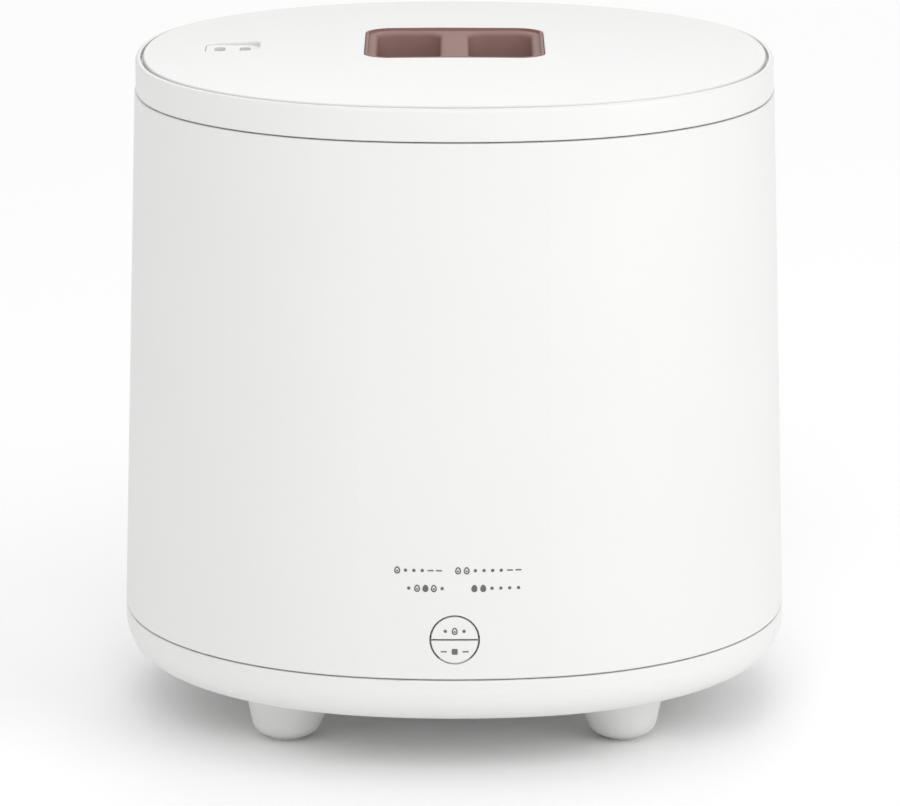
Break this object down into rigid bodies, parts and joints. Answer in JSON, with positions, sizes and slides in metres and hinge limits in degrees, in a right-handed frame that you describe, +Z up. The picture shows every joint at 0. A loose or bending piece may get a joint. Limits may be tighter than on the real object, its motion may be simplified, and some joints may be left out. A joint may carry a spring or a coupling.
{
  "type": "egg cooker",
  "caption": "Countertop egg cooker: soft-square body on four legs, pot over a heating plate, egg rack, steaming bowl and a lift-off lid with a pinch grip.",
  "frame": {"origin": "on the floor plane, under the middle of the body", "axes": "+Z up, the keys face -Y, the mains inlet faces +Y, the steam vent is on the -X side of the lid"},
  "size_m": [0.175, 0.175, 0.1758],
  "materials": {
    "white_shell": "fine satin moulded polypropylene",
    "lid_white": "fine satin moulded polypropylene",
    "grip_brown": "satin moulded plastic",
    "pad_silicone": "satin silicone",
    "seal_silicone": "satin silicone",
    "stainless": "drawn and satin finished",
    "zinc_steel": "zinc plated",
    "cast_aluminium": "as cast",
    "element_steel": "sheathed element, dulled",
    "rack_plastic": "moulded polypropylene",
    "bowl_plastic": "moulded polypropylene",
    "key_white": "satin moulded ABS",
    "inlet_black": "moulded nylon",
    "brass": "drawn",
    "board_green": "solder mask",
    "component_black": "moulded epoxy",
    "component_blue": "moulded case",
    "component_yellow": "taped winding",
    "terminal_green": "moulded polyamide",
    "lamp_clear": "clear epoxy",
    "wire_brown": "silicone sleeve",
    "wire_blue": "silicone sleeve",
    "wire_red": "silicone sleeve",
    "wire_white": "PVC sleeve"
  },
  "bodies": {
    "cooker_body": {"base_shell": "white_shell", "foot_pads": "pad_silicone", "base_screws": "zinc_steel", "body_shell": "white_shell", "body_deck": "white_shell", "pot_gasket": "seal_silicone", "inner_pot": "stainless", "heating_plate": "cast_aluminium", "heater_tube": "element_steel", "heater_pins": "brass", "heat_shield": "stainless", "plate_studs": "zinc_steel", "shield_spacers": "zinc_steel", "plate_nuts": "zinc_steel", "power_board": "board_green", "power_board_screws": "zinc_steel", "control_board": "board_green", "control_board_screws": "zinc_steel", "tact_switches": "component_black", "mode_leds": "lamp_clear", "light_shield": "component_black", "key_guide": "component_black", "thermistor": "cast_aluminium", "sensor_spring": "stainless", "thermal_fuse": "lamp_clear", "fuse_clip": "stainless", "relay": "component_blue", "mains_transformer": "component_yellow", "filter_capacitor": "component_blue", "board_connector": "lamp_clear", "terminal_block": "terminal_green", "inlet_socket": "inlet_black", "inlet_pins": "brass", "live_wire": "wire_brown", "neutral_wire": "wire_blue", "heater_wire_left": "wire_red", "heater_wire_right": "wire_red", "signal_cable": "wire_white"},
    "lid": {"lid_rim": "lid_white", "lid_top_panel": "lid_white", "grip_insert": "grip_brown", "steam_vent": "lid_white", "lid_inner_plate": "rack_plastic", "lid_seal": "seal_silicone", "lid_screws": "zinc_steel"},
    "egg_rack": {"egg_rack": "rack_plastic"},
    "steaming_bowl": {"steaming_bowl": "bowl_plastic"},
    "mode_key": {"mode_key": "key_white", "mode_plunger": "component_black"},
    "cancel_key": {"cancel_key": "key_white", "cancel_plunger": "component_black"}
  },
  "joints": [
    {"name": "lid_lift", "type": "slide", "parent": "cooker_body", "child": "lid", "axis": [0, 0, 1], "range_m": [0, 0.3]},
    {"name": "bowl_lift", "type": "slide", "parent": "cooker_body", "child": "steaming_bowl", "axis": [0, 0, 1], "range_m": [0, 0.18]},
    {"name": "rack_lift", "type": "slide", "parent": "cooker_body", "child": "egg_rack", "axis": [0, 0, 1], "range_m": [0, 0.135]},
    {"name": "mode_key_press", "type": "slide", "parent": "cooker_body", "child": "mode_key", "axis": [0, 1, 0], "range_m": [0, 0.0005], "stiffness_N_per_m": 2500},
    {"name": "cancel_key_press", "type": "slide", "parent": "cooker_body", "child": "cancel_key", "axis": [0, 1, 0], "range_m": [0, 0.0005], "stiffness_N_per_m": 2500}
  ],
  "couplings": [
    {"joint": "bowl_lift", "follows": "lid_lift", "ratio": 0.6},
    {"joint": "rack_lift", "follows": "lid_lift", "ratio": 0.45}
  ]
}
